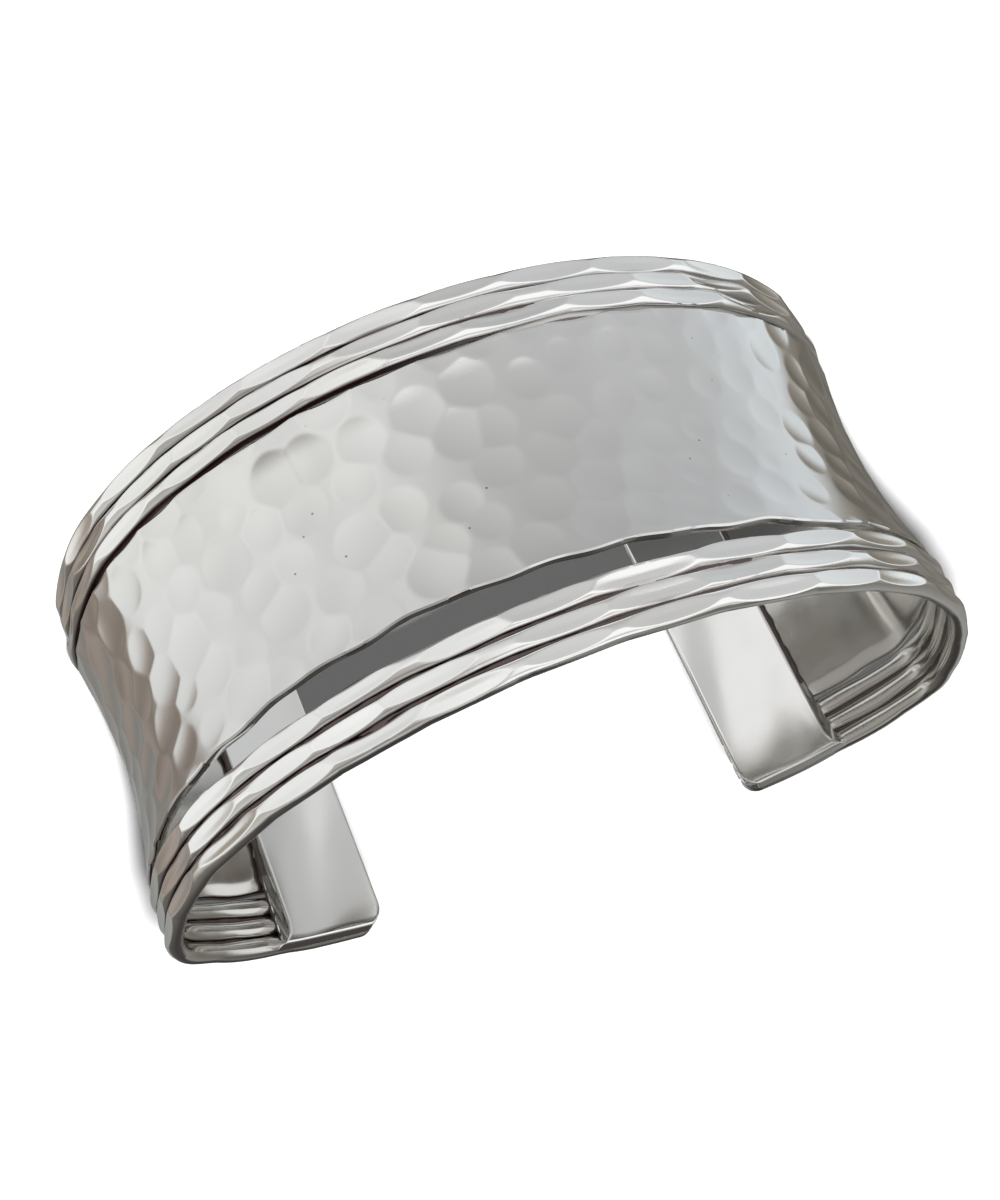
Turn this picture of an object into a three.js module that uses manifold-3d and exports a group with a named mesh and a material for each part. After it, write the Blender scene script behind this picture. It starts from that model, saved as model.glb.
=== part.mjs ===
// A hammered silver cuff bracelet, lying on one rim. Millimetres, +Z up.
// A waisted centre strip and three wires along each rim follow one open oval. Their ends are
// soldered on two end plates, one inside each end of the cuff, so all of it is one piece of metal.
// The middle of the front faces -Y, and the gap for the wrist is at +Y.
import * as THREE from 'three';
import { mergeVertices } from 'three/addons/utils/BufferGeometryUtils.js';
import Module from 'manifold-3d';

// Driving dimensions.
const HALF_WIDTH = 32.5; // centre of the oval to the outside of either side
const FRONT_DEPTH = 28.6; // centre of the oval to the outside of the front
const BACK_DEPTH = 15; // the same for the flatter half oval that the two ends follow
const SIDE_BLEND = THREE.MathUtils.degToRad(25); // the front half turns into the back half over this
const GAP = 33; // between the two ends
const HEIGHT = 29; // rim to rim

const WIRE = 1.64; // across one wire
const TOP_PITCH = 1.62; // wire to wire along the top rim
const BOTTOM_PITCH = 1.5; // wire to wire along the bottom rim
const WIRES_PER_RIM = 3;

const STRIP_WALL = 0.9;
const STRIP_INSET = 0.35; // the strip's edges lie this far inside the outside of the wires
const WAIST = 1.05; // how much deeper the strip's middle lies than its edges
const END_WAIST = 0.5; // the same at the two ends
const WAIST_FADE = 12; // length over which the waist flattens towards each end
const STRIP_STEPS = 7; // facets across the strip

const TOP_SLOT_MIN = 0.3; // the open slot between the strip and the top wires, at the ends
const TOP_SLOT_MAX = 2.15; // and where it is widest
const TOP_SLOT_PEAK = 13; // how far round from the front's middle it is widest
const TOP_SLOT_SPREAD = 42; // how far round from there it narrows to its least
const BOTTOM_SLOT = 0.3;

const PLATE_LENGTH = 8.5; // along the band
const PLATE_OUTSIDE = 1.3; // depth of the plate's outer face under the outside of the wires
const PLATE_INSIDE = 2.9; // depth of its inner face
const CORNER_RADIUS = 1.8; // of the four corners at the ends

const FRONT_STEPS = 20; // stations from the front's middle to each side
const BACK_STEPS = 7; // stations from each side to its end

const END_ANGLE = Math.acos(GAP / 2 / HALF_WIDTH);
const END_Y = BACK_DEPTH * Math.sin(END_ANGLE);
const OVAL_CENTRE_Y = (FRONT_DEPTH - END_Y) / 2; // puts the middle of the cuff's box on the origin
const TOP_BORDER = WIRE + (WIRES_PER_RIM - 1) * TOP_PITCH;
const BOTTOM_BORDER = WIRE + (WIRES_PER_RIM - 1) * BOTTOM_PITCH;

// A point of the oval's right half and its outward normal. The angle runs from -90 degrees at the
// front's middle, through 0 at the side, to END_ANGLE. Front and back are halves of two ellipses
// of the same width, and the depth changes smoothly from one to the other round the side.
function ovalAt(angle) {
  const share = THREE.MathUtils.clamp((angle + SIDE_BLEND) / (2 * SIDE_BLEND), 0, 1);
  const depth = FRONT_DEPTH + (BACK_DEPTH - FRONT_DEPTH) * share ** 2 * (3 - 2 * share);
  const depthRate = ((BACK_DEPTH - FRONT_DEPTH) * 6 * share * (1 - share)) / (2 * SIDE_BLEND);
  const rise = depth * Math.cos(angle) + depthRate * Math.sin(angle);
  const point = new THREE.Vector2(HALF_WIDTH * Math.cos(angle), depth * Math.sin(angle));
  const normal = new THREE.Vector2(rise, HALF_WIDTH * Math.sin(angle)).normalize();
  return { point, normal };
}

// Angles at equal lengths of arc from one angle to another, both ends included.
function evenAngles(from, to, steps) {
  const fine = 400;
  const lengths = [0];
  const angles = [from];
  for (let i = 1; i <= fine; i += 1) {
    angles.push(from + ((to - from) * i) / fine);
    const hop = ovalAt(angles[i]).point.distanceTo(ovalAt(angles[i - 1]).point);
    lengths.push(lengths[i - 1] + hop);
  }
  const even = [from];
  for (let k = 1, i = 1; k < steps; k += 1) {
    const wanted = (lengths[fine] * k) / steps;
    while (lengths[i] < wanted) i += 1;
    const share = (wanted - lengths[i - 1]) / (lengths[i] - lengths[i - 1]);
    even.push(angles[i - 1] + share * (angles[i] - angles[i - 1]));
  }
  return [...even, to];
}

// Stations all the way round, from the left end to the right end. run is the length of arc from
// the front's middle, less than zero on the left.
function makeStations() {
  const front = evenAngles(-Math.PI / 2, 0, FRONT_STEPS);
  const back = evenAngles(0, END_ANGLE, BACK_STEPS).slice(1);
  const right = [];
  let run = 0;
  for (const angle of [...front, ...back]) {
    const { point, normal } = ovalAt(angle);
    if (right.length > 0) run += point.distanceTo(right[right.length - 1].point);
    right.push({ point, normal, run });
  }
  const left = right.slice(1).reverse().map((station) => ({
    point: new THREE.Vector2(-station.point.x, station.point.y),
    normal: new THREE.Vector2(-station.normal.x, station.normal.y),
    run: -station.run,
  }));
  return [...left, ...right];
}

const stations = makeStations();
const HALF_RUN = stations[stations.length - 1].run;

// Carries a closed outline round the stations. outlineAt(run) gives its points as (depth below the
// outside of the wires, height), up the outside and down the inside, as many at every station.
function sweep(outlineAt, path = stations) {
  const positions = [];
  const indices = [];
  const rings = path.map(({ run }) => outlineAt(run));
  const size = rings[0].length;
  path.forEach(({ point, normal }, i) => {
    for (const [depth, height] of rings[i]) {
      positions.push(point.x - normal.x * depth, point.y - normal.y * depth + OVAL_CENTRE_Y, height);
    }
  });
  for (let i = 0; i < path.length - 1; i += 1) {
    for (let j = 0; j < size; j += 1) {
      const a = i * size + j;
      const b = i * size + ((j + 1) % size);
      indices.push(a, b + size, b, a, a + size, b + size);
    }
  }
  const flat = rings[0].map(([depth, height]) => new THREE.Vector2(-depth, height));
  const last = (path.length - 1) * size;
  for (const [a, b, c] of THREE.ShapeUtils.triangulateShape(flat, [])) {
    indices.push(a, b, c, last + a, last + c, last + b);
  }
  const geometry = new THREE.BufferGeometry();
  geometry.setAttribute('position', new THREE.Float32BufferAttribute(positions, 3));
  geometry.setIndex(indices);
  return geometry;
}

// The outline of the wires of one rim, soldered side by side. Each wire is a regular octagon with
// a flat at its top, bottom, outside and inside, and two neighbours meet in a crease.
function borderOutline(bottom, pitch) {
  const reach = WIRE / 2;
  const flat = reach * Math.tan(Math.PI / 8);
  const crease = flat + reach - pitch / 2;
  const halfOutline = [[flat, -reach]];
  for (let i = 0; i < WIRES_PER_RIM; i += 1) {
    if (i > 0) halfOutline.push([crease, (i - 0.5) * pitch]);
    halfOutline.push([reach, i * pitch - flat], [reach, i * pitch + flat]);
  }
  halfOutline.push([flat, (WIRES_PER_RIM - 1) * pitch + reach]);
  const outside = halfOutline.map(([out, up]) => [reach - out, bottom + reach + up]);
  const inside = halfOutline.map(([out, up]) => [reach + out, bottom + reach + up]).reverse();
  return [...outside, ...inside];
}

function borderGeometry(bottom, pitch) {
  const outline = borderOutline(bottom, pitch);
  return sweep(() => outline);
}

// The top slot is widest a little to the right of the front and narrows smoothly both ways.
function topSlot(run) {
  const turn = THREE.MathUtils.clamp((run - TOP_SLOT_PEAK) / TOP_SLOT_SPREAD, -1, 1);
  return TOP_SLOT_MIN + (TOP_SLOT_MAX - TOP_SLOT_MIN) * Math.cos((turn * Math.PI) / 2) ** 2;
}

// The centre strip: an even wall whose outline is a parabola, deepest half way up.
function stripGeometry() {
  return sweep((run) => {
    const low = BOTTOM_BORDER + BOTTOM_SLOT;
    const high = HEIGHT - TOP_BORDER - topSlot(run);
    const fade = THREE.MathUtils.smoothstep(HALF_RUN - Math.abs(run), 0, WAIST_FADE);
    const waist = END_WAIST + (WAIST - END_WAIST) * fade;
    const outside = [];
    for (let i = 0; i <= STRIP_STEPS; i += 1) {
      const across = (2 * i) / STRIP_STEPS - 1;
      const height = (low + high) / 2 + (across * (high - low)) / 2;
      outside.push([STRIP_INSET + waist * (1 - across ** 2), height]);
    }
    const inside = outside.map(([depth, height]) => [depth + STRIP_WALL, height]).reverse();
    return [...outside, ...inside];
  });
}

// An end plate follows the last stretch of the band, inside the wires and the strip. side is 1 for
// the right end and -1 for the left one.
function plateGeometry(side) {
  const path = stations.filter(({ run }) => run * side >= HALF_RUN - PLATE_LENGTH);
  const outline = [
    [PLATE_OUTSIDE, 0],
    [PLATE_OUTSIDE, HEIGHT],
    [PLATE_INSIDE, HEIGHT],
    [PLATE_INSIDE, 0],
  ];
  return sweep(() => outline, path);
}

// The tool that rounds one corner of an end: a square bar with its inner corner hollowed to the
// corner radius. side is 1 for the right end and -1 for the left one; top is 1 or 0.
function cornerTool(side, top) {
  const spare = 0.6;
  const shape = new THREE.Shape();
  shape.moveTo(-spare, -spare);
  shape.lineTo(CORNER_RADIUS, -spare);
  shape.lineTo(CORNER_RADIUS, 0);
  shape.absarc(CORNER_RADIUS, CORNER_RADIUS, CORNER_RADIUS, -Math.PI / 2, -Math.PI, true);
  shape.lineTo(-spare, CORNER_RADIUS);
  shape.closePath();
  const depth = PLATE_INSIDE + 2 * spare;
  const tool = new THREE.ExtrudeGeometry(shape, { depth, bevelEnabled: false, curveSegments: 5 });
  const { point, normal } = stations[side > 0 ? stations.length - 1 : 0];
  const inwards = new THREE.Vector3(-normal.x, -normal.y, 0);
  const up = new THREE.Vector3(0, 0, top ? -1 : 1);
  const along = new THREE.Vector3(side * normal.y, -side * normal.x, 0);
  const start = new THREE.Vector3(point.x, point.y + OVAL_CENTRE_Y, top ? HEIGHT : 0);
  start.addScaledVector(inwards, -spare);
  const matrix = new THREE.Matrix4().makeBasis(along, up, inwards).setPosition(start);
  tool.applyMatrix4(matrix);
  if (matrix.determinant() < 0) flipFaces(tool);
  return tool;
}

function flipFaces(geometry) {
  const { array } = geometry.attributes.position;
  for (let i = 0; i < array.length; i += 9) {
    for (let k = 0; k < 3; k += 1) {
      [array[i + 3 + k], array[i + 6 + k]] = [array[i + 6 + k], array[i + 3 + k]];
    }
  }
}

const wasm = await Module();
wasm.setup();

function toSolid(geometry) {
  const bare = geometry.clone();
  bare.deleteAttribute('normal');
  bare.deleteAttribute('uv');
  const merged = mergeVertices(bare, 1e-4);
  const mesh = new wasm.Mesh({
    numProp: 3,
    vertProperties: new Float32Array(merged.attributes.position.array),
    triVerts: new Uint32Array(merged.index.array),
  });
  return new wasm.Manifold(mesh);
}

function toGeometry(solid) {
  const mesh = solid.getMesh();
  const geometry = new THREE.BufferGeometry();
  geometry.setAttribute('position', new THREE.BufferAttribute(mesh.vertProperties, 3));
  geometry.setIndex(new THREE.BufferAttribute(mesh.triVerts, 1));
  const faceted = geometry.toNonIndexed();
  faceted.computeVertexNormals();
  return faceted;
}

let body = toSolid(stripGeometry());
body = body.add(toSolid(borderGeometry(0, BOTTOM_PITCH)));
body = body.add(toSolid(borderGeometry(HEIGHT - TOP_BORDER, TOP_PITCH)));
for (const side of [-1, 1]) {
  body = body.add(toSolid(plateGeometry(side)));
}
for (const side of [-1, 1]) {
  for (const top of [0, 1]) {
    body = body.subtract(toSolid(cornerTool(side, top)));
  }
}

const silver = new THREE.MeshStandardMaterial({ color: 0xd9d9d7, roughness: 0.18, metalness: 1 });
const cuff = new THREE.Mesh(toGeometry(body), silver);
cuff.name = 'cuff';

const bracelet = new THREE.Group();
bracelet.add(cuff);

export default bracelet;
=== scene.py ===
# %% [markdown]
# # A hammered silver cuff
# A wide open cuff is made of few pieces: a hammered centre strip whose middle is pulled in like
# a waist, three round wires along each rim with long flats hammered into their outsides, and a
# flat plate inside each end, to which the strip and the wires are soldered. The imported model
# holds the true size and place of all of it as one plain solid. This lesson builds the fine
# surface of each piece inside that solid's box, and lights it as a jeweller's studio would.
#
# Every surface is a function of two numbers: how far round the band a point lies, and where it
# sits in the section there. numpy works out a whole surface at once as a grid.

# %% Load the frame
import math

import bpy
import numpy as np
from mathutils import Matrix, Vector


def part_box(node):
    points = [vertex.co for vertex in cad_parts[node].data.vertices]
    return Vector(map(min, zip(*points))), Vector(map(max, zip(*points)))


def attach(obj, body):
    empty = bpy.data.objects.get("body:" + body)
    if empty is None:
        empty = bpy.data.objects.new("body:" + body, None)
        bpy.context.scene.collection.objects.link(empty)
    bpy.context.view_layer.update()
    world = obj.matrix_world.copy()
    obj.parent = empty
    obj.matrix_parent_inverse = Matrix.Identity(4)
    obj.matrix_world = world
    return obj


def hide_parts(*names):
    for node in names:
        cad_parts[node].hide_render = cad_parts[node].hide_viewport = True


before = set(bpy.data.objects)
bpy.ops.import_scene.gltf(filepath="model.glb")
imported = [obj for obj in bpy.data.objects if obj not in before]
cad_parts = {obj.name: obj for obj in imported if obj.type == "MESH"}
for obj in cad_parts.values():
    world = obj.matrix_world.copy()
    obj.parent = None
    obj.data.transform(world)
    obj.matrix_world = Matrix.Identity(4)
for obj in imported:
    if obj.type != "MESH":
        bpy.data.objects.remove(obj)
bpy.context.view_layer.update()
print("packed nodes:", sorted(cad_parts))

# %% [markdown]
# ## The cuff's sizes
# The jeweller thinks in millimetres, so the sizes here are millimetres too and turn into
# Blender's metres only when a mesh is written. The width and the height come from the packed
# solid. What is left are the sizes of the stock (wire, sheet and plate) and of the oval.

# %% Sizes in millimetres
MM = 0.001
cuff_low, cuff_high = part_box("cuff")
HALF_WIDTH = (cuff_high.x - cuff_low.x) / 2 / MM
HEIGHT = (cuff_high.z - cuff_low.z) / MM
FRONT_DEPTH = 28.6
BACK_DEPTH = 15.0
SIDE_BLEND = math.radians(25)
GAP = 33.0

WIRE = 1.64
TOP_PITCH = 1.62
BOTTOM_PITCH = 1.5
WIRES_PER_RIM = 3
TOP_BORDER = WIRE + (WIRES_PER_RIM - 1) * TOP_PITCH
BOTTOM_BORDER = WIRE + (WIRES_PER_RIM - 1) * BOTTOM_PITCH

STRIP_WALL = 0.9
STRIP_INSET = 0.35
WAIST = 1.05
END_WAIST = 0.5
WAIST_FADE = 12.0

TOP_SLOT_MIN = 0.3
TOP_SLOT_MAX = 2.15
TOP_SLOT_PEAK = 13.0
TOP_SLOT_SPREAD = 42.0
BOTTOM_SLOT = 0.3

PLATE_LENGTH = 8.5
PLATE_OUTSIDE = 1.3
PLATE_INSIDE = 2.9
PLATE_HOLLOW = 0.32
CORNER_RADIUS = 1.8
print(f"borders of three wires: {TOP_BORDER:.2f} mm above, {BOTTOM_BORDER:.2f} mm below")

# %% [markdown]
# ## The oval that everything follows
# A cuff is bent round an oval mandrel. Seen from above, its front is half an ellipse and its
# back is half of a flatter ellipse of the same width. The front turns into the back smoothly
# round the sides. Polar angles are poor guides for hammer marks, which are spaced evenly along
# the metal, so the oval is measured once: a fine table pairs each angle with its length of arc
# from the middle of the front, called the run. After that a piece asks for a run and gets the
# point and the outward direction there.

# %% Measure the oval
def smooth(x):
    """0 below 0, 1 above 1, and 3x^2 - 2x^3 between."""
    x = np.clip(x, 0, 1)
    return x * x * (3 - 2 * x)


def oval_depth(angle):
    """The oval's half depth: FRONT_DEPTH, turning into BACK_DEPTH within SIDE_BLEND of the side."""
    share = (angle + SIDE_BLEND) / (2 * SIDE_BLEND)
    return FRONT_DEPTH + (BACK_DEPTH - FRONT_DEPTH) * smooth(share)


END_ANGLE = math.acos(GAP / 2 / HALF_WIDTH)
angle_table = np.linspace(-math.pi / 2, END_ANGLE, 40001)
x_table = HALF_WIDTH * np.cos(angle_table)
y_table = oval_depth(angle_table) * np.sin(angle_table)
run_table = np.concatenate([[0], np.cumsum(np.hypot(np.diff(x_table), np.diff(y_table)))])
heading_table = np.unwrap(np.arctan2(np.gradient(y_table), np.gradient(x_table)))
HALF_RUN = run_table[-1]
OVAL_Y = (FRONT_DEPTH - y_table[-1]) / 2


def oval(run):
    """Point (x, y) and outward direction (nx, ny) at a run; the left half mirrors the right."""
    side = np.sign(run)
    along = np.abs(run)
    x = side * np.interp(along, run_table, x_table)
    y = np.interp(along, run_table, y_table) + OVAL_Y
    heading = np.interp(along, run_table, heading_table)
    return x, y, side * np.sin(heading), -np.cos(heading)


print(f"length of the band: {2 * HALF_RUN:.1f} mm, round an oval {2 * HALF_WIDTH:.1f} mm wide")

# %% [markdown]
# ## From grids to meshes
# Each piece is a tube of some section: rings of points, one ring per station along the band.
# `carry` turns section measures into space: it starts on the oval, goes inwards by the depth and
# up by the height. All pieces stop at the same end line, whose corners are rounded, so the run
# of a point near a rim is shortened by what the rounding takes away there.

# %% Carry a section along the band
def corner_trim(height):
    """How far the rounded corner cuts the band's end back at a height: r - sqrt(r^2 - (r - d)^2),
    where d is the distance from the nearer rim and r the corner's radius."""
    from_rim = np.clip(np.minimum(height, HEIGHT - height), 0, CORNER_RADIUS)
    return CORNER_RADIUS - np.sqrt(CORNER_RADIUS**2 - (CORNER_RADIUS - from_rim) ** 2)


def carry(run, depth, height):
    """Points, in metres, at a run along the band, a depth below the wires' outside and a height."""
    run = run * (1 - corner_trim(height) / HALF_RUN)
    x, y, nx, ny = oval(run)
    return np.stack([x - nx * depth, y - ny * depth, height + 0 * x], axis=-1) * MM


END_ROUNDING = 0.15
SHARP_ANGLE = math.radians(50)


def stations(count, start=-HALF_RUN, stop=HALF_RUN):
    """Runs spaced evenly from start to stop, with four more in the rounded edge at each end."""
    bend = END_ROUNDING * (1 - np.cos(np.linspace(0, math.pi / 2, 5)))[:-1]
    middle = np.linspace(start + END_ROUNDING, stop - END_ROUNDING, count)
    return np.concatenate([start + bend, middle, (stop - bend)[::-1]])


def end_inset(run):
    """How far the rounded edge at either end of the stations draws in the section:
    r - sqrt(r^2 - (r - d)^2), where d is the distance from that end."""
    from_end = np.minimum(run - run.min(), run.max() - run)
    short_of_full = np.clip(END_ROUNDING - from_end, 0, END_ROUNDING)
    return END_ROUNDING - np.sqrt(END_ROUNDING**2 - short_of_full**2)


def put_in_scene(name, data):
    """A new object for a mesh, a lamp or a camera, linked to the scene."""
    thing = bpy.data.objects.new(name, data)
    bpy.context.scene.collection.objects.link(thing)
    return thing


def tube_mesh(name, rings, extra=None):
    """A closed mesh from a grid of rings: quads between neighbouring rings, one flat face on each
    end. rings[i, j] runs round the section upwards on the outside. extra maps an attribute's name
    to a value per point."""
    count, around = rings.shape[:2]
    i, j = np.meshgrid(np.arange(count - 1), np.arange(around), indexing="ij")
    here = i * around + j
    beside = i * around + (j + 1) % around
    quads = np.stack([here, here + around, beside + around, beside], axis=-1).reshape(-1, 4)
    first = np.arange(around)
    last = (count - 1) * around + first[::-1]
    faces = quads.tolist() + [first.tolist(), last.tolist()]
    mesh = bpy.data.meshes.new(name)
    mesh.from_pydata(rings.reshape(-1, 3).tolist(), [], faces)
    for key, values in (extra or {}).items():
        attribute = mesh.attributes.new(key, "FLOAT", "POINT")
        attribute.data.foreach_set("value", values.reshape(-1).astype("f"))
    mesh.shade_smooth()
    mesh.set_sharp_from_angle(angle=SHARP_ANGLE)
    return put_in_scene(name, mesh)


def keep(piece, material):
    """Gives a finished piece its material and its place in the frame."""
    piece.data.materials.append(material)
    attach(piece, "root")
    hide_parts("cuff")
    print(f"{piece.name}: {len(piece.data.polygons)} faces")


# %% [markdown]
# ## Silver
# Polished silver has almost no colour of its own: it shows the room. What makes it silver and
# not chrome is wear. Fine scratches run every way, the polish is uneven from patch to patch, and
# small pits hold dirt. Brown-black painted shade darkens the wires' grooves and the solder in the
# grooves and seams. One function makes every silver here, and its arguments say how worn each
# piece is. The painted groove shade is an attribute worked out with the shape. Another, called
# inside, is 1 where the strip and the wires face the wrist, and there they are left duller and
# painted darker as shade.

# %% A silver material
def maths(tree, operation, *values):
    """A Math node's result. Each value is a number or another node's output."""
    node = tree.nodes.new("ShaderNodeMath")
    node.operation = operation
    for socket, value in zip(node.inputs, values):
        if isinstance(value, bpy.types.NodeSocket):
            tree.links.new(value, socket)
        else:
            socket.default_value = value
    return node.outputs[0]


def silver(name, tint=(0.96, 0.96, 0.95), rough=0.1, scratches=0.3, pits=0.0):
    """A worn silver: tint is its clean colour, rough its dullness, scratches the strength of the
    hair scratches, and pits how dark the dirt in the pits is."""
    material = bpy.data.materials.new(name)
    material.use_nodes = True
    tree = material.node_tree
    nodes = tree.nodes
    links = tree.links
    shader = nodes["Principled BSDF"]
    shader.inputs["Metallic"].default_value = 1.0

    place = nodes.new("ShaderNodeTexCoord").outputs["Object"]

    def texture(kind, scale, source=place, **inputs):
        node = nodes.new(kind)
        links.new(source, node.inputs["Vector"])
        node.inputs["Scale"].default_value = scale
        for key, value in inputs.items():
            node.inputs[key].default_value = value
        return node

    def remap(value, low, high, to_low, to_high):
        node = nodes.new("ShaderNodeMapRange")
        links.new(value, node.inputs["Value"])
        node.inputs["From Min"].default_value = low
        node.inputs["From Max"].default_value = high
        node.inputs["To Min"].default_value = to_low
        node.inputs["To Max"].default_value = to_high
        return node.outputs["Result"]

    def blend(factor, first, second):
        node = nodes.new("ShaderNodeMix")
        node.data_type = "RGBA"
        for number, value in ((0, factor), (6, first), (7, second)):
            socket = node.inputs[number]
            if isinstance(value, tuple):
                socket.default_value = (*value, 1.0)
            else:
                links.new(value, socket)
        return node.outputs[2]

    # Uneven polish: broad soft patches of slightly duller metal.
    patches = texture("ShaderNodeTexNoise", 160, Detail=3.0, Roughness=0.6)
    dull = remap(patches.outputs["Fac"], 0.3, 0.75, rough - 0.03, rough + 0.05)

    # Scratches: a fine noise squeezed hard along two slanted directions.
    heights = []
    for turn, stretch in (((0.4, 0.9, 0.3), (40, 900, 900)), ((1.1, 0.2, 2.0), (900, 60, 900))):
        lay = nodes.new("ShaderNodeMapping")
        links.new(place, lay.inputs["Vector"])
        lay.inputs["Rotation"].default_value = turn
        lay.inputs["Scale"].default_value = stretch
        hair = texture("ShaderNodeTexNoise", 6.0, lay.outputs["Vector"], Detail=2.0, Roughness=0.5)
        heights.append(remap(hair.outputs["Fac"], 0.62, 0.72, 0.0, 1.0))
    bump = nodes.new("ShaderNodeBump")
    bump.inputs["Strength"].default_value = scratches
    bump.inputs["Distance"].default_value = 0.00001
    bump.invert = True
    links.new(maths(tree, "ADD", *heights), bump.inputs["Height"])
    links.new(bump.outputs["Normal"], shader.inputs["Normal"])

    # Colour: a faint warm drift, pits full of dirt, and brown-black painted shade in creases.
    drift = texture("ShaderNodeTexNoise", 60, Detail=2.0)
    warm = remap(drift.outputs["Fac"], 0.4, 0.75, 0.0, 0.35)
    colour = blend(warm, tint, (tint[0] * 0.97, tint[1] * 0.94, tint[2] * 0.88))
    if pits:
        dots = texture("ShaderNodeTexVoronoi", 640)
        rare = texture("ShaderNodeTexNoise", 120, Detail=1.0)
        spot = remap(dots.outputs["Distance"], 0.07, 0.03, 0.0, 1.0)
        chosen = remap(rare.outputs["Fac"], 0.53, 0.59, 0.0, pits)
        colour = blend(maths(tree, "MULTIPLY", spot, chosen), colour, (0.09, 0.08, 0.075))
    # Attribute, the colour it turns the metal to, and how much duller it makes it.
    # The inside mark paints the faces towards the wrist darker as shade; the other paints brown-black
    # shade into grooves and seams. Both also add real dullness.
    marks = (("inside", (0.70, 0.685, 0.655), 0.07), ("crease_shade", (0.075, 0.035, 0.033), 0.3))
    for key, shade, roughening in marks:
        mark = nodes.new("ShaderNodeAttribute")
        mark.attribute_name = key
        colour = blend(mark.outputs["Fac"], colour, shade)
        dull = maths(tree, "MULTIPLY_ADD", mark.outputs["Fac"], roughening, dull)
    links.new(colour, shader.inputs["Base Color"])
    links.new(dull, shader.inputs["Roughness"])
    print(f"{name}: {len(nodes)} nodes")
    return material


STRIP_TINT = (0.81, 0.81, 0.805)
strip_silver = silver("hammered strip silver", tint=STRIP_TINT, rough=0.13, scratches=0.15, pits=0.8)
wire_silver = silver("hammered wire silver", rough=0.08, scratches=0.15)
plate_silver = silver("end plate silver", rough=0.14, scratches=0.04)
solder_silver = silver("solder", tint=(0.88, 0.87, 0.84), rough=0.3, scratches=0.2)

# %% [markdown]
# ## The centre strip
# The strip is struck all over with a round-faced hammer before it is bent. Each blow leaves a
# shallow round dish, part of a large sphere, and where two dishes overlap they meet in a soft
# ridge. The dishes could be a bump texture, but they would vanish from the outline and from the
# exported mesh, so they are cut into the surface itself. A soft maximum of all the spheres gives
# the depth: it follows the deepest dish everywhere and rounds the ridges a little, as polishing does.

# %% Where the blows fall
BLOW_SPACING = 3.75
ROW_GAP = 0.87 * BLOW_SPACING
RUN_SCATTER = 0.5
HEIGHT_SCATTER = 0.46
BLOW_DEPTH = 0.12
DEPTH_SCATTER = 0.22
SHALLOWEST_BLOW = 0.02
DEEPEST_BLOW = 0.26
LIGHT_BLOWS_AT = -15
LIGHT_BLOWS_REACH = 11
LIGHT_BLOWS_LOSS = 0.45
HAMMER_SPHERE = 14.5
SPHERE_SCATTER = 0.12
BLOW_REACH = 3.6


def strip_blows(rng):
    """Blows on a staggered lattice, each moved a little: columns run, height, depth, sphere radius.
    They are lighter a little to the left of the front's middle."""
    rows = int((HEIGHT - TOP_BORDER - BOTTOM_BORDER) / ROW_GAP) + 2
    columns = int(2 * HALF_RUN / BLOW_SPACING) + 2
    row, column = np.meshgrid(np.arange(rows), np.arange(columns), indexing="ij")
    run = (column + 0.5 * (row % 2)) * BLOW_SPACING - HALF_RUN
    height = BOTTOM_BORDER + row * ROW_GAP
    count = run.size
    run = run.ravel() + rng.normal(0, RUN_SCATTER, count)
    height = height.ravel() + rng.normal(0, HEIGHT_SCATTER, count)
    depth = BLOW_DEPTH * (1 + rng.normal(0, DEPTH_SCATTER, count))
    depth *= 1 - LIGHT_BLOWS_LOSS * np.exp(-(((run - LIGHT_BLOWS_AT) / LIGHT_BLOWS_REACH) ** 2))
    depth = np.clip(depth, SHALLOWEST_BLOW, DEEPEST_BLOW)
    sphere = HAMMER_SPHERE * (1 + rng.normal(0, SPHERE_SCATTER, count))
    return np.stack([run, height, depth, sphere], axis=1)


def dish_depth(run, height, blows, softness=0.0035):
    """Depth of the hammered surface: softness * ln(1 + sum of e^(dish / softness)), where a dish is
    its depth less the squared distance over twice its sphere's radius."""
    total = np.ones_like(run)
    for blow_run, blow_height, depth, sphere in blows:
        near = slice(*np.searchsorted(run[:, 0], [blow_run - BLOW_REACH, blow_run + BLOW_REACH]))
        away = (run[near] - blow_run) ** 2 + (height[near] - blow_height) ** 2
        total[near] += np.exp((depth - away / (2 * sphere)) / softness)
    return softness * np.log(total)


# %% Build the centre strip
def top_slot(run):
    """The open slot above the strip: widest a little to the right, narrowing as a squared cosine."""
    turn = np.clip((run - TOP_SLOT_PEAK) / TOP_SLOT_SPREAD, -1, 1)
    return TOP_SLOT_MIN + (TOP_SLOT_MAX - TOP_SLOT_MIN) * np.cos(turn * math.pi / 2) ** 2


def strip_waist(run):
    """How much deeper the strip's middle lies than its edges, less near the ends."""
    return END_WAIST + (WAIST - END_WAIST) * smooth((HALF_RUN - np.abs(run)) / WAIST_FADE)


def hand_wave(run, rng, lengths, size):
    """An uneven wave: sines of the given wavelengths with chance phases."""
    wave = 0
    for length in lengths:
        wave = wave + size * np.sin(run * 2 * math.pi / length + rng.uniform(0, 2 * math.pi))
    return wave


STRIP_BEVEL = 0.13
STATIONS_PER_STRIP = 690
POINTS_ACROSS_OUTSIDE = 116
POINTS_ACROSS_INSIDE = 18
BACK_SOFTNESS = 0.03
BACK_SHARE = 0.4


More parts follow.
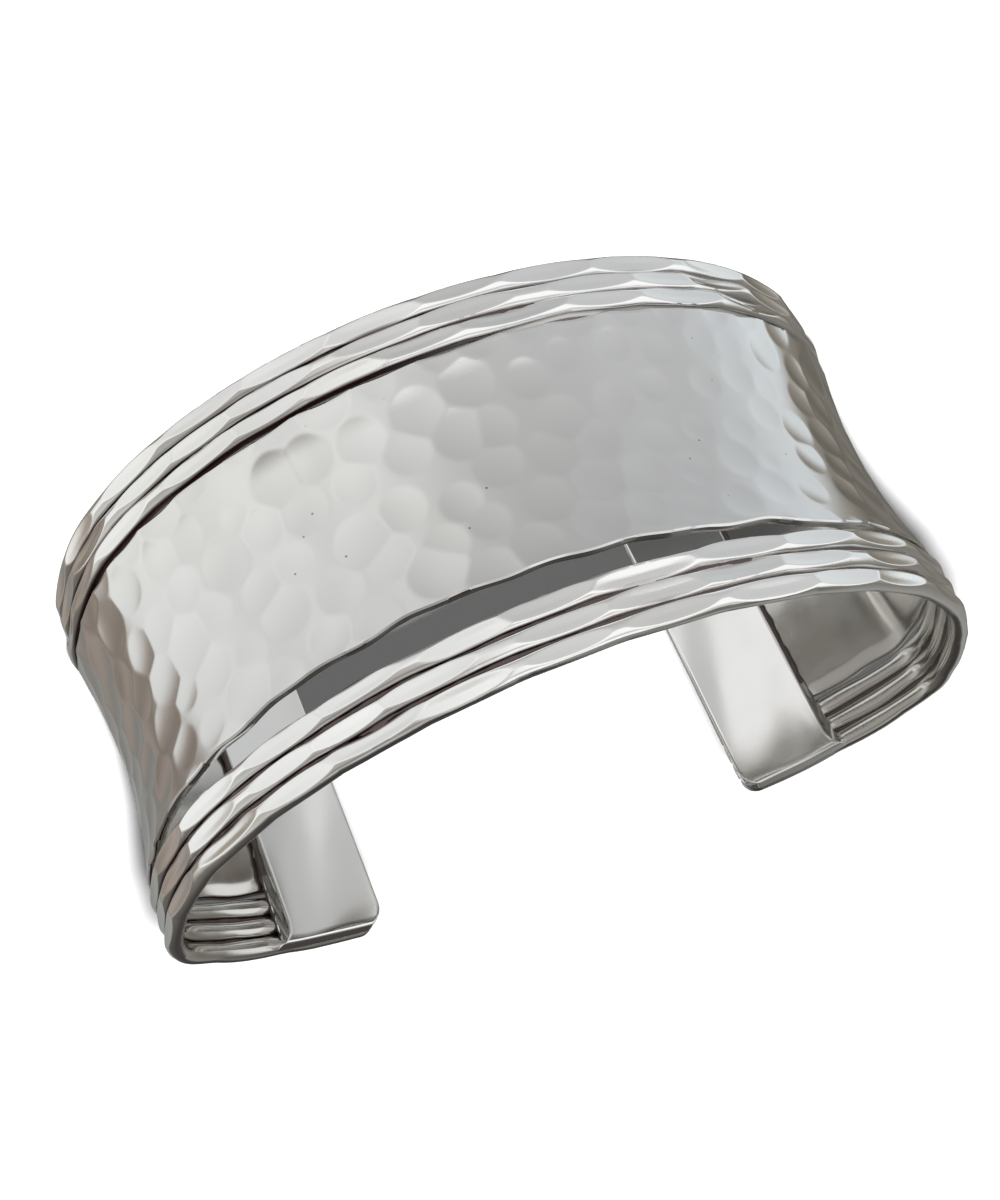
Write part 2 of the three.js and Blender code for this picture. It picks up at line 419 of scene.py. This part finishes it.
def build_strip():
    """The strip's wall. Across it, the outside is a parabola deepest at half height plus the
    dishes; the inside is the same parabola one wall deeper, less faint lumps of its own."""
    rng = np.random.default_rng(7)
    run = stations(STATIONS_PER_STRIP)[:, None]
    low = BOTTOM_BORDER + BOTTOM_SLOT + hand_wave(run, rng, (4.7, 7.9, 13.0), 0.045)
    high = HEIGHT - TOP_BORDER - top_slot(run) + hand_wave(run, rng, (5.3, 8.6, 12.0), 0.06)
    waist = strip_waist(run)

    outside = np.concatenate([[-1], np.linspace(-1, 1, POINTS_ACROSS_OUTSIDE), [1]])[None, :]
    reach = (high - low) / 2
    height = (low + high) / 2 + outside * (reach - STRIP_BEVEL)
    height[:, 0] = low[:, 0]
    height[:, -1] = high[:, 0]
    across = (height - (low + high) / 2) / reach
    dishes = dish_depth(run + 0 * height, height, strip_blows(rng))
    depth = STRIP_INSET + waist * (1 - across**2) + dishes
    depth[:, [0, -1]] += STRIP_BEVEL

    back = np.concatenate([[1], np.linspace(1, -1, POINTS_ACROSS_INSIDE), [-1]])[None, :]
    back_height = (low + high) / 2 + back * (reach - STRIP_BEVEL)
    back_height[:, 0] = high[:, 0]
    back_height[:, -1] = low[:, 0]
    back_across = (back_height - (low + high) / 2) / reach
    back_blows = strip_blows(np.random.default_rng(8))
    soft_dishes = dish_depth(run + 0 * back_height, back_height, back_blows, BACK_SOFTNESS)
    back_depth = STRIP_INSET + waist * (1 - back_across**2) + STRIP_WALL - BACK_SHARE * soft_dishes
    back_depth[:, [0, -1]] -= STRIP_BEVEL

    section_depth = np.concatenate([depth, back_depth], axis=1)
    section_height = np.concatenate([height, back_height], axis=1)
    section_across = (section_height - low) / reach - 1
    middle = (section_depth[:, :1] + section_depth[:, -1:]) / 2 + waist * (1 - section_across**2)
    section_depth = middle + (section_depth - middle) * (1 - end_inset(run) / (STRIP_WALL / 2))
    rings = carry(run + 0 * section_height, section_depth, section_height)
    # Painted shade: the faces towards the wrist are marked to be painted darker, and made a little
    # duller.
    inside = np.zeros(rings.shape[:2])
    inside[:, depth.shape[1]:] = 1
    strip = tube_mesh("hammered_centre_strip", rings, {"inside": inside})
    keep(strip, strip_silver)
    return dishes


strip_dishes = build_strip()
print(f"dishes are up to {strip_dishes.max():.2f} mm deep")

# %% [markdown]
# ## The rim wires
# Each wire is round, and hammered on its outside only. A flat hammer on a bent wire leaves a
# long flat, pointed like a lens because the wire curves away from the hammer and the hammer's
# own face is a little domed. So the wire is cut here the same way. Along every direction out of
# the wire's centre, the surface is the nearest of the round wire and the slightly domed hammer
# faces close by, with a very small softness at the flats' borders. Metal that is struck goes
# sideways, so the wire is a little wider where it is cut deepest. The sides of a wire face its
# neighbours, and there dark brown is painted in as shade down in the grooves, most of all to the
# right of the front's middle.

# %% A hammered wire
WIRE_RADIUS = WIRE / 2
ROUND_RADIUS = 0.875 * WIRE_RADIUS
SPREAD_RADIUS = 0.995 * WIRE_RADIUS
FULL_CUT = 0.33
HAMMER_DOME = 42.0
FLAT_SPACING = 6.9
FLAT_SCATTER = 0.12 * FLAT_SPACING
CUT = 0.42
CUT_SCATTER = 0.045
SHALLOWEST_CUT = 0.3
DEEPEST_CUT = 0.5
TILT_SCATTER = 0.15
SLOPE_SCATTER = 0.02
FLAT_REACH = 8
FLAT_SOFTNESS = 0.009
LEAST_FACING = 0.2
OUT_OF_REACH = 3
STATIONS_PER_WIRE = 820
POINTS_ROUND_WIRE = 64
CROWDING = 0.45


def wire_blows(rng):
    """Blows along a wire: columns run, cut below the round wire, sideways tilt, lengthways slope.
    Both slants are in radians."""
    count = int(2 * HALF_RUN / FLAT_SPACING) + 2
    run = (np.arange(count) + rng.uniform(0, 1)) * FLAT_SPACING - HALF_RUN
    run += rng.normal(0, FLAT_SCATTER, count)
    cut = np.clip(rng.normal(CUT, CUT_SCATTER, count), SHALLOWEST_CUT, DEEPEST_CUT)
    tilt = rng.normal(0, TILT_SCATTER, count)
    slope = rng.normal(0, SLOPE_SCATTER, count)
    return np.stack([run, cut, tilt, slope], axis=1)


def build_wire(name, centre_height, seed, open_side=0):
    """A round wire cut by its blows, as the notes above say. Its points are crowded towards the
    outside, where the flats are. open_side is 1 or -1 where its upper or lower side has no
    neighbour and stays bright, and the wires inside of the outermost waver."""
    rng = np.random.default_rng(seed)
    run = stations(STATIONS_PER_WIRE)
    turn = np.linspace(0, 2 * math.pi, POINTS_ROUND_WIRE, endpoint=False) + math.pi
    turn = turn + CROWDING * np.sin(turn - math.pi)
    x, y, nx, ny = oval(run)
    centre = np.stack([x - nx * WIRE_RADIUS, y - ny * WIRE_RADIUS], axis=-1)
    if not open_side:
        centre_height = centre_height + hand_wave(run[:, None], rng, (8.3, 12.9, 19.0), 0.03)
    out = np.cos(turn)[None, :]
    up = np.sin(turn)[None, :]

    nearness = np.exp(-ROUND_RADIUS / FLAT_SOFTNESS) * np.ones((run.size, turn.size))
    for blow_run, cut, tilt, slope in wire_blows(rng):
        near = slice(*np.searchsorted(run, [blow_run - FLAT_REACH, blow_run + FLAT_REACH]))
        bx, by, bnx, bny = oval(np.array(blow_run))
        face = np.array([bnx - slope * bny, bny + slope * bnx])
        start = np.array([bx - bnx * cut, by - bny * cut])
        lengthways = (centre[near] - start) @ np.array([-face[1], face[0]])
        gap = (start - centre[near]) @ face + lengthways**2 / (2 * HAMMER_DOME)
        facing = (nx[near] * face[0] + ny[near] * face[1])[:, None] * out * math.cos(tilt)
        facing = facing + up * math.sin(tilt)
        reach = gap[:, None] * math.cos(tilt) / np.maximum(facing, LEAST_FACING)
        reach = np.where(facing > LEAST_FACING, np.clip(reach, 0, OUT_OF_REACH), OUT_OF_REACH)
        nearness[near] += np.exp(-reach / FLAT_SOFTNESS)
    radius = -FLAT_SOFTNESS * np.log(nearness)
    cut_here = ROUND_RADIUS - radius.min(axis=1)[:, None]
    spread = (SPREAD_RADIUS / ROUND_RADIUS - 1) * np.clip(cut_here / FULL_CUT, 0, 1)
    radius = radius * (1 + spread * up**2)
    radius = radius * (1 - end_inset(run)[:, None] / ROUND_RADIUS)

    depth = WIRE_RADIUS - radius * out
    height = centre_height + radius * up
    # Painted shade: brown-black on the sides that face a neighbouring wire, down in the grooves,
    # strongest to the right of the front's middle.
    crease_shade = smooth((np.abs(up) - 0.8) / 0.14) * (up * open_side <= 0)
    crease_shade = crease_shade * (0.35 + 0.65 * smooth((run[:, None] + 5) / 15))
    # Painted shade: the faces towards the wrist are marked to be painted darker, and made a little
    # duller.
    inside = smooth(-2.5 * out) * np.ones_like(radius)
    rings = carry(run[:, None] + 0 * height, depth, height)
    keep(tube_mesh(name, rings, {"crease_shade": crease_shade, "inside": inside}), wire_silver)


# %% Lay three wires along each rim
for number in range(WIRES_PER_RIM):
    outermost = int(number == 0)
    lower_centre = WIRE_RADIUS + number * BOTTOM_PITCH
    upper_centre = HEIGHT - WIRE_RADIUS - number * TOP_PITCH
    build_wire(f"lower_rim_wire_{number + 1}", lower_centre, 20 + number, -outermost)
    build_wire(f"upper_rim_wire_{number + 1}", upper_centre, 40 + number, outermost)

# %% [markdown]
# ## Solder between the wires
# Neighbouring wires only touch along a line, and solder fills the crease between them. A thin
# web that runs through the middle of the three wires stands for it, so no light leaks between
# them. The web is painted dark, as shade at the bottom of each groove.

# %% The solder webs
# How strongly solder is painted dark, as shade in the grooves and in the undercut by the plates.
SOLDER_SHADE = 0.85
WEB_HALF = 0.2


def build_web(name, low, high):
    """A thin bar through the wires' centres from the first to the last, with a faint ripple."""
    run = np.linspace(-HALF_RUN + WEB_HALF, HALF_RUN - WEB_HALF, 300)[:, None]
    ripple = 0.03 * np.sin(run * 2.1) + 0.02 * np.sin(run * 5.3 + 1)
    depth = np.array([-WEB_HALF, -WEB_HALF, WEB_HALF, WEB_HALF])[None, :] + WIRE_RADIUS + ripple
    height = np.array([low, high, high, low])[None, :] + 0 * run
    rings = carry(run + 0 * height, depth, height)
    # Painted shade: the whole web is darkened, as the shade at the bottom of the grooves.
    crease_shade = np.full(rings.shape[:2], SOLDER_SHADE)
    keep(tube_mesh(name, rings, {"crease_shade": crease_shade}), solder_silver)


build_web("lower_rim_solder", WIRE_RADIUS, BOTTOM_BORDER - WIRE_RADIUS)
build_web("upper_rim_solder", HEIGHT - TOP_BORDER + WIRE_RADIUS, HEIGHT - WIRE_RADIUS)

# %% [markdown]
# ## The end plates
# A flat plate inside each end ties the strip and the wires together. It is filed and polished
# flat, its edges are broken with a fine file, and its corners are rounded. Along the inner edge
# of the plate the solder has run out into a thin lumpy seam, painted dark as the shadow in the
# undercut there.

# %% The plates
PLATE_BEVEL = 0.2
PLATE_INSET = 0.1
PLATE_BOW = 0.03
SEAM_RADIUS = 0.26
SEAM_OFFSET = 0.08
SEAM_GAP = 0.3
SEAM_MARGIN = 1.0


def build_plate(name, side):
    """A plate's section is a bevelled box, carried along the last stretch of the band. Its hidden
    outer face is hollowed as a parabola, so that it stays inside the strip's wall under the
    deepest dish. Its inner face bows a little, as filing leaves it."""
    edge = PLATE_BEVEL * (1 - np.cos(np.linspace(0, math.pi / 2, 5)))
    low = PLATE_INSET
    high = HEIGHT - PLATE_INSET
    ends = np.sort([side * (HALF_RUN - PLATE_LENGTH), side * HALF_RUN])
    run = stations(50, *ends)[:, None]
    face = np.linspace(low + PLATE_BEVEL, high - PLATE_BEVEL, 60)[1:-1]
    heights = np.concatenate([low + edge, face, high - edge[::-1]])
    into_bevel = np.interp(heights, [low, low + PLATE_BEVEL, high - PLATE_BEVEL, high], [1, 0, 0, 1])
    sag = PLATE_BEVEL * (1 - np.sqrt(1 - into_bevel**2))
    across = np.clip((heights - HEIGHT / 2) / (HEIGHT / 2 - TOP_BORDER), -1, 1)
    outside = PLATE_OUTSIDE + sag + PLATE_HOLLOW * (1 - across**2)
    depths = np.concatenate([outside, (PLATE_INSIDE - sag)[::-1]])
    height = np.concatenate([heights, heights[::-1]])[None, :] + 0 * run
    middle = (PLATE_OUTSIDE + PLATE_INSIDE) / 2
    bow = PLATE_BOW * (1 + np.sin(run * 0.9 + height * 0.3)) * (depths[None, :] > middle)
    depth = middle + (depths[None, :] - middle) * (1 - end_inset(run) / (PLATE_INSIDE - middle)) - bow
    rings = carry(run + 0 * height, depth, height)
    keep(tube_mesh(name, rings), plate_silver)


def build_seam(name, side):
    """The seam along a plate's inner edge: a lumpy round bead that climbs over the backs of the
    wires and the strip."""
    height = np.linspace(SEAM_MARGIN, HEIGHT - SEAM_MARGIN, 200)[:, None]
    turn = np.linspace(0, 2 * math.pi, 14, endpoint=False)[None, :]
    run = side * (HALF_RUN - PLATE_LENGTH - SEAM_OFFSET)
    across = np.clip((height - HEIGHT / 2) / (HEIGHT / 2 - TOP_BORDER), -1, 1)
    back = STRIP_INSET + STRIP_WALL + SEAM_GAP + strip_waist(run) * (1 - across**2)
    ripple = 0.05 * np.sin(height * 1.7 + side) + 0.035 * np.sin(height * 4.1 + 2 * side)
    lumps = SEAM_RADIUS + ripple
    rings = carry(run - lumps * np.cos(turn), back + lumps * np.sin(turn), height + 0 * turn)
    # Painted shadow: the whole seam is darkened, as the shadow in the undercut along the plate's inner
    # edge.
    crease_shade = np.full(rings.shape[:2], SOLDER_SHADE)
    keep(tube_mesh(name, rings, {"crease_shade": crease_shade}), solder_silver)


build_seam("solder_seam_right", 1)
build_seam("solder_seam_left", -1)
build_plate("end_plate_right", 1)
build_plate("end_plate_left", -1)

# %% [markdown]
# ## Floor, light and camera
# The cuff lies on its side on a wide pale floor. A mirror shows the whole room, so the room
# matters more than the lamp: broad pale walls in front, brown and grey ones at the sides and a
# darker room behind. The pale floor would drown all of this in white, so it is left out of what
# the metal mirrors. The lamp only lights the floor. It hangs just above the camera, so the cuff
# hides most of its own shadow, and the floor seen through the slot is dark.

# %% The floor
FLOOR_RADIUS = 30.0
FLOOR_SIDES = 64


def build_floor():
    """One flat many-sided face, 30 metres to its rim, which the metal doesn't mirror."""
    turn = np.linspace(0, 2 * math.pi, FLOOR_SIDES, endpoint=False)
    rim = np.stack([FLOOR_RADIUS * np.cos(turn), FLOOR_RADIUS * np.sin(turn), 0 * turn], axis=1)
    mesh = bpy.data.meshes.new("floor")
    mesh.from_pydata(rim.tolist(), [], [list(range(FLOOR_SIDES))])
    floor = put_in_scene("floor", mesh)
    paint = bpy.data.materials.new("pale floor")
    paint.use_nodes = True
    shader = paint.node_tree.nodes["Principled BSDF"]
    shader.inputs["Base Color"].default_value = (0.9, 0.9, 0.9, 1)
    shader.inputs["Roughness"].default_value = 1.0
    shader.inputs["Specular IOR Level"].default_value = 0.0
    mesh.materials.append(paint)
    floor.visible_glossy = False
    print(f"floor: {2 * FLOOR_RADIUS:.0f} m across")


build_floor()

# %% [markdown]
# ## Cards
# The inside of a ring mirrors only the ring, and reads as a muddle. In a studio, cards are slipped
# into it where the camera doesn't see them: here a dark one lies on the floor, and a white and a
# grey one stand behind the front of the cuff, where the end plates mirror them. Only the metal
# sees them.

# %% The cards
def build_card(name, corners, brightness):
    """A flat card with the given corners, in millimetres, which glows evenly with its brightness."""
    mesh = bpy.data.meshes.new(name)
    mesh.from_pydata([tuple(MM * v for v in corner) for corner in corners], [], [(0, 1, 2, 3)])
    card = put_in_scene(name, mesh)
    paint = bpy.data.materials.new(name)
    paint.use_nodes = True
    shader = paint.node_tree.nodes["Principled BSDF"]
    shader.inputs["Base Color"].default_value = (0, 0, 0, 1)
    shader.inputs["Specular IOR Level"].default_value = 0.0
    shader.inputs["Emission Color"].default_value = (brightness, brightness, brightness, 1)
    shader.inputs["Emission Strength"].default_value = 1.0
    mesh.materials.append(paint)
    card.visible_camera = False
    card.visible_diffuse = False
    card.visible_transmission = False
    card.visible_shadow = False
    print(f"{name}: brightness {brightness}")


# Corners in millimetres, then the brightness.
# The dark card glows a faint grey where the floor inside the ring lies in shadow: the metal mirrors it
# as that shadowed floor, a painted reflection of shade.
build_card("dark_card", [(-23, -9, 0), (-9.5, -9, 0), (-9.5, 19, 0), (-23, 19, 0)], 0.1)
build_card("white_card", [(-9.7, -15, 0), (-2, -15, 0), (-2, -15, 15), (-9.7, -15, 15)], 0.86)
build_card("grey_card", [(-22.5, -9, 0), (-9.7, -15, 0), (-9.7, -15, 14.5), (-22.5, -9, 14.5)], 0.5)

# %% [markdown]
# ## The room
# Azimuth runs round the horizon: 0 in front of the cuff, 90 towards +X and 180 behind it. The
# low walls lie below the horizon and the high walls above it. Pale walls stand in front and brown
# ones past the sides, and the strip's dents show where one turns into the other. All of it is
# multiplied by a brightness that depends only on the elevation.

# %% The room's walls
# Azimuth in degrees, wall colour there.
LOW_WALLS = [
    (-180, (0.42, 0.42, 0.42)), (-166, (0.3, 0.3, 0.3)), (-154, (0.18, 0.175, 0.165)),
    (-142, (0.14, 0.135, 0.12)), (-131, (0.22, 0.205, 0.18)), (-120, (0.14, 0.13, 0.11)),
    (-106, (0.30, 0.275, 0.235)), (-99, (0.76, 0.80, 0.82)), (-80, (0.63, 0.66, 0.68)),
    (-62, (0.54, 0.548, 0.56)), (-46, (0.57, 0.573, 0.58)), (-30, (0.53, 0.53, 0.535)),
    (-10, (0.55, 0.55, 0.55)), (4, (0.63, 0.63, 0.63)), (14, (0.72, 0.725, 0.72)),
    (26, (0.83, 0.835, 0.83)), (40, (0.75, 0.755, 0.75)), (54, (0.85, 0.855, 0.85)),
    (70, (0.76, 0.765, 0.76)), (86, (0.85, 0.86, 0.85)), (109, (0.80, 0.81, 0.80)),
    (119, (0.34, 0.29, 0.25)), (129, (0.22, 0.195, 0.165)), (138, (0.36, 0.30, 0.265)),
    (148, (0.23, 0.225, 0.205)), (157, (0.28, 0.28, 0.265)), (166, (0.3, 0.3, 0.295)),
    (180, (0.42, 0.42, 0.42)),
]
HIGH_WALLS = [
    (-180, (0.05, 0.045, 0.045)), (-164, (0.07, 0.065, 0.06)), (-154, (0.30, 0.30, 0.29)),
    (-104, (0.2, 0.19, 0.17)), (-90, (0.30, 0.29, 0.27)), (-80, (0.95, 0.97, 0.98)),
    (-60, (1, 1, 1)), (5, (1, 1, 1)), (22, (0.6, 0.59, 0.575)), (40, (0.42, 0.40, 0.385)),
    (75, (0.4, 0.39, 0.37)), (108, (0.6, 0.6, 0.58)), (122, (0.18, 0.165, 0.15)),
    (165, (0.08, 0.075, 0.07)), (180, (0.05, 0.045, 0.045)),
]
# Elevation in degrees, brightness there.
LEVELS = [
    (-90, 0.6), (-62, 0.86), (-46, 0.94), (-28, 1), (-10, 1.1), (6, 1), (40, 1), (55, 0.5),
    (66, 1), (80, 1), (90, 0.5),
]
LOW_WALLS_END = math.radians(-8)
HIGH_WALLS_START = math.radians(6)
SHADOW_GREY = 0.145
BACKDROP_STRENGTH = 1.2
print(f"walls: {len(LOW_WALLS)} low stops, {len(HIGH_WALLS)} high stops, {len(LEVELS)} levels")


# %% The room, as a world
def build_room():
    """What the metal mirrors: a wall colour by compass direction, times a brightness by height.
    Rays that scatter off the floor see only a little grey, so shadows stay deep."""
    world = bpy.data.worlds.new("room")
    bpy.context.scene.world = world
    world.use_nodes = True
    tree = world.node_tree
    nodes = tree.nodes
    links = tree.links
    nodes.clear()

    def ramp(value, reach, stops):
        """A colour ramp over -reach ... reach degrees of an angle given in radians."""
        share = nodes.new("ShaderNodeMapRange")
        share.inputs["From Min"].default_value = -math.radians(reach)
        share.inputs["From Max"].default_value = math.radians(reach)
        links.new(value, share.inputs["Value"])
        node = nodes.new("ShaderNodeValToRGB")
        links.new(share.outputs["Result"], node.inputs["Fac"])
        elements = node.color_ramp.elements
        while len(elements) < len(stops):
            elements.new(0.5)
        for element, (degrees, colour) in zip(elements, stops):
            element.position = (degrees + reach) / (2 * reach)
            element.color = (*colour, 1)
        return node.outputs["Color"]

    direction = nodes.new("ShaderNodeSeparateXYZ")
    links.new(nodes.new("ShaderNodeTexCoord").outputs["Generated"], direction.inputs[0])
    ahead = maths(tree, "MULTIPLY", direction.outputs["Y"], -1.0)
    compass = maths(tree, "ARCTAN2", direction.outputs["X"], ahead)
    climb = maths(tree, "ARCSINE", direction.outputs["Z"])
    low_walls = ramp(compass, 180, LOW_WALLS)
    high_walls = ramp(compass, 180, HIGH_WALLS)
    levels = ramp(climb, 90, [(degrees, (level, level, level)) for degrees, level in LEVELS])
    above = nodes.new("ShaderNodeMapRange")
    above.interpolation_type = "SMOOTHSTEP"
    above.inputs["From Min"].default_value = LOW_WALLS_END
    above.inputs["From Max"].default_value = HIGH_WALLS_START
    links.new(climb, above.inputs["Value"])

    walls = nodes.new("ShaderNodeMix")
    walls.data_type = "RGBA"
    links.new(above.outputs["Result"], walls.inputs[0])
    links.new(low_walls, walls.inputs[6])
    links.new(high_walls, walls.inputs[7])
    room = nodes.new("ShaderNodeMix")
    room.data_type = "RGBA"
    room.blend_type = "MULTIPLY"
    room.inputs[0].default_value = 1.0
    links.new(walls.outputs[2], room.inputs[6])
    links.new(levels, room.inputs[7])

    def background(colour, strength):
        node = nodes.new("ShaderNodeBackground")
        node.inputs["Strength"].default_value = strength
        if isinstance(colour, tuple):
            node.inputs["Color"].default_value = (*colour, 1)
        else:
            links.new(colour, node.inputs["Color"])
        return node.outputs[0]

    def choose(which, otherwise, chosen):
        node = nodes.new("ShaderNodeMixShader")
        links.new(which, node.inputs["Fac"])
        links.new(otherwise, node.inputs[1])
        links.new(chosen, node.inputs[2])
        return node.outputs[0]

    rays = nodes.new("ShaderNodeLightPath").outputs
    shadow_grey = background((SHADOW_GREY, SHADOW_GREY, SHADOW_GREY), 1.0)
    backdrop = background((1.0, 1.0, 1.0), BACKDROP_STRENGTH)
    seen = choose(rays["Is Camera Ray"], shadow_grey, backdrop)
    seen = choose(rays["Is Glossy Ray"], seen, background(room.outputs[2], 1.0))
    output = nodes.new("ShaderNodeOutputWorld")
    links.new(seen, output.inputs["Surface"])
    print(f"room: {len(nodes)} nodes")


build_room()

# %% The key lamp
def from_azimuth(azimuth, elevation):
    """The direction towards a place at a compass azimuth, 0 in front of the cuff, and an elevation."""
    flat = math.cos(elevation)
    return Vector((math.sin(azimuth) * flat, -math.cos(azimuth) * flat, math.sin(elevation)))


VIEW_AZIMUTH = math.radians(15.5)
VIEW_ELEVATION = math.radians(24.2)
VIEW_DISTANCE = 0.1375
LOOK_AT = Vector((0, 0.0012, 0.0145))
LAMP_ABOVE_CAMERA = math.radians(3.4)
LAMP_STRENGTH = 620
LAMP_RADIUS = 0.003


def build_key_lamp():
    """One lamp just above the camera, so the cuff's shadow falls where the cuff hides it. Its
    strength grows with distance, as no real lamp's does, so the whole floor is lit evenly. The
    metal doesn't mirror it."""
    lamp = bpy.data.lights.new("key lamp", "POINT")
    lamp.energy = LAMP_STRENGTH
    lamp.shadow_soft_size = LAMP_RADIUS
    lamp.use_nodes = True
    tree = lamp.node_tree
    falloff = tree.nodes.new("ShaderNodeLightFalloff")
    falloff.inputs["Strength"].default_value = 1.0
    distance = tree.nodes.new("ShaderNodeLightPath").outputs["Ray Length"]
    strength = maths(tree, "MULTIPLY", falloff.outputs["Constant"], distance)
    tree.links.new(strength, tree.nodes["Emission"].inputs["Strength"])
    holder = put_in_scene("key lamp", lamp)
    away = from_azimuth(VIEW_AZIMUTH, VIEW_ELEVATION + LAMP_ABOVE_CAMERA)
    holder.location = LOOK_AT + VIEW_DISTANCE * away
    holder.visible_glossy = False
    holder.visible_camera = False
    print(f"key lamp: {math.degrees(LAMP_ABOVE_CAMERA):.1f} degrees above the camera")


build_key_lamp()

# %% The camera
CAMERA_ROLL = math.radians(155.5)
LENS = 54.8
SHIFT = (-0.0163, 0.0044)


def build_camera():
    """The camera looks at the middle of the cuff from above its upper rim, turned far round its
    own line of sight, so that the upper rim is at the bottom of its view."""
    away = from_azimuth(VIEW_AZIMUTH, VIEW_ELEVATION)
    level = (-away).cross(Vector((0, 0, 1))).normalized()
    upright = level.cross(-away)
    right = math.cos(CAMERA_ROLL) * level + math.sin(CAMERA_ROLL) * upright
    up = -math.sin(CAMERA_ROLL) * level + math.cos(CAMERA_ROLL) * upright
    camera = bpy.data.cameras.new("camera")
    camera.lens = LENS
    camera.shift_x, camera.shift_y = SHIFT
    camera.clip_start = 0.01
    holder = put_in_scene("camera", camera)
    turned = Matrix((right, up, away)).transposed().to_4x4()
    holder.matrix_world = Matrix.Translation(LOOK_AT + VIEW_DISTANCE * away) @ turned
    bpy.context.scene.camera = holder
    print(f"camera: {LENS} mm lens, {VIEW_DISTANCE / MM:.1f} mm from the cuff's middle")


build_camera()
bpy.context.scene.view_settings.view_transform = "Standard"
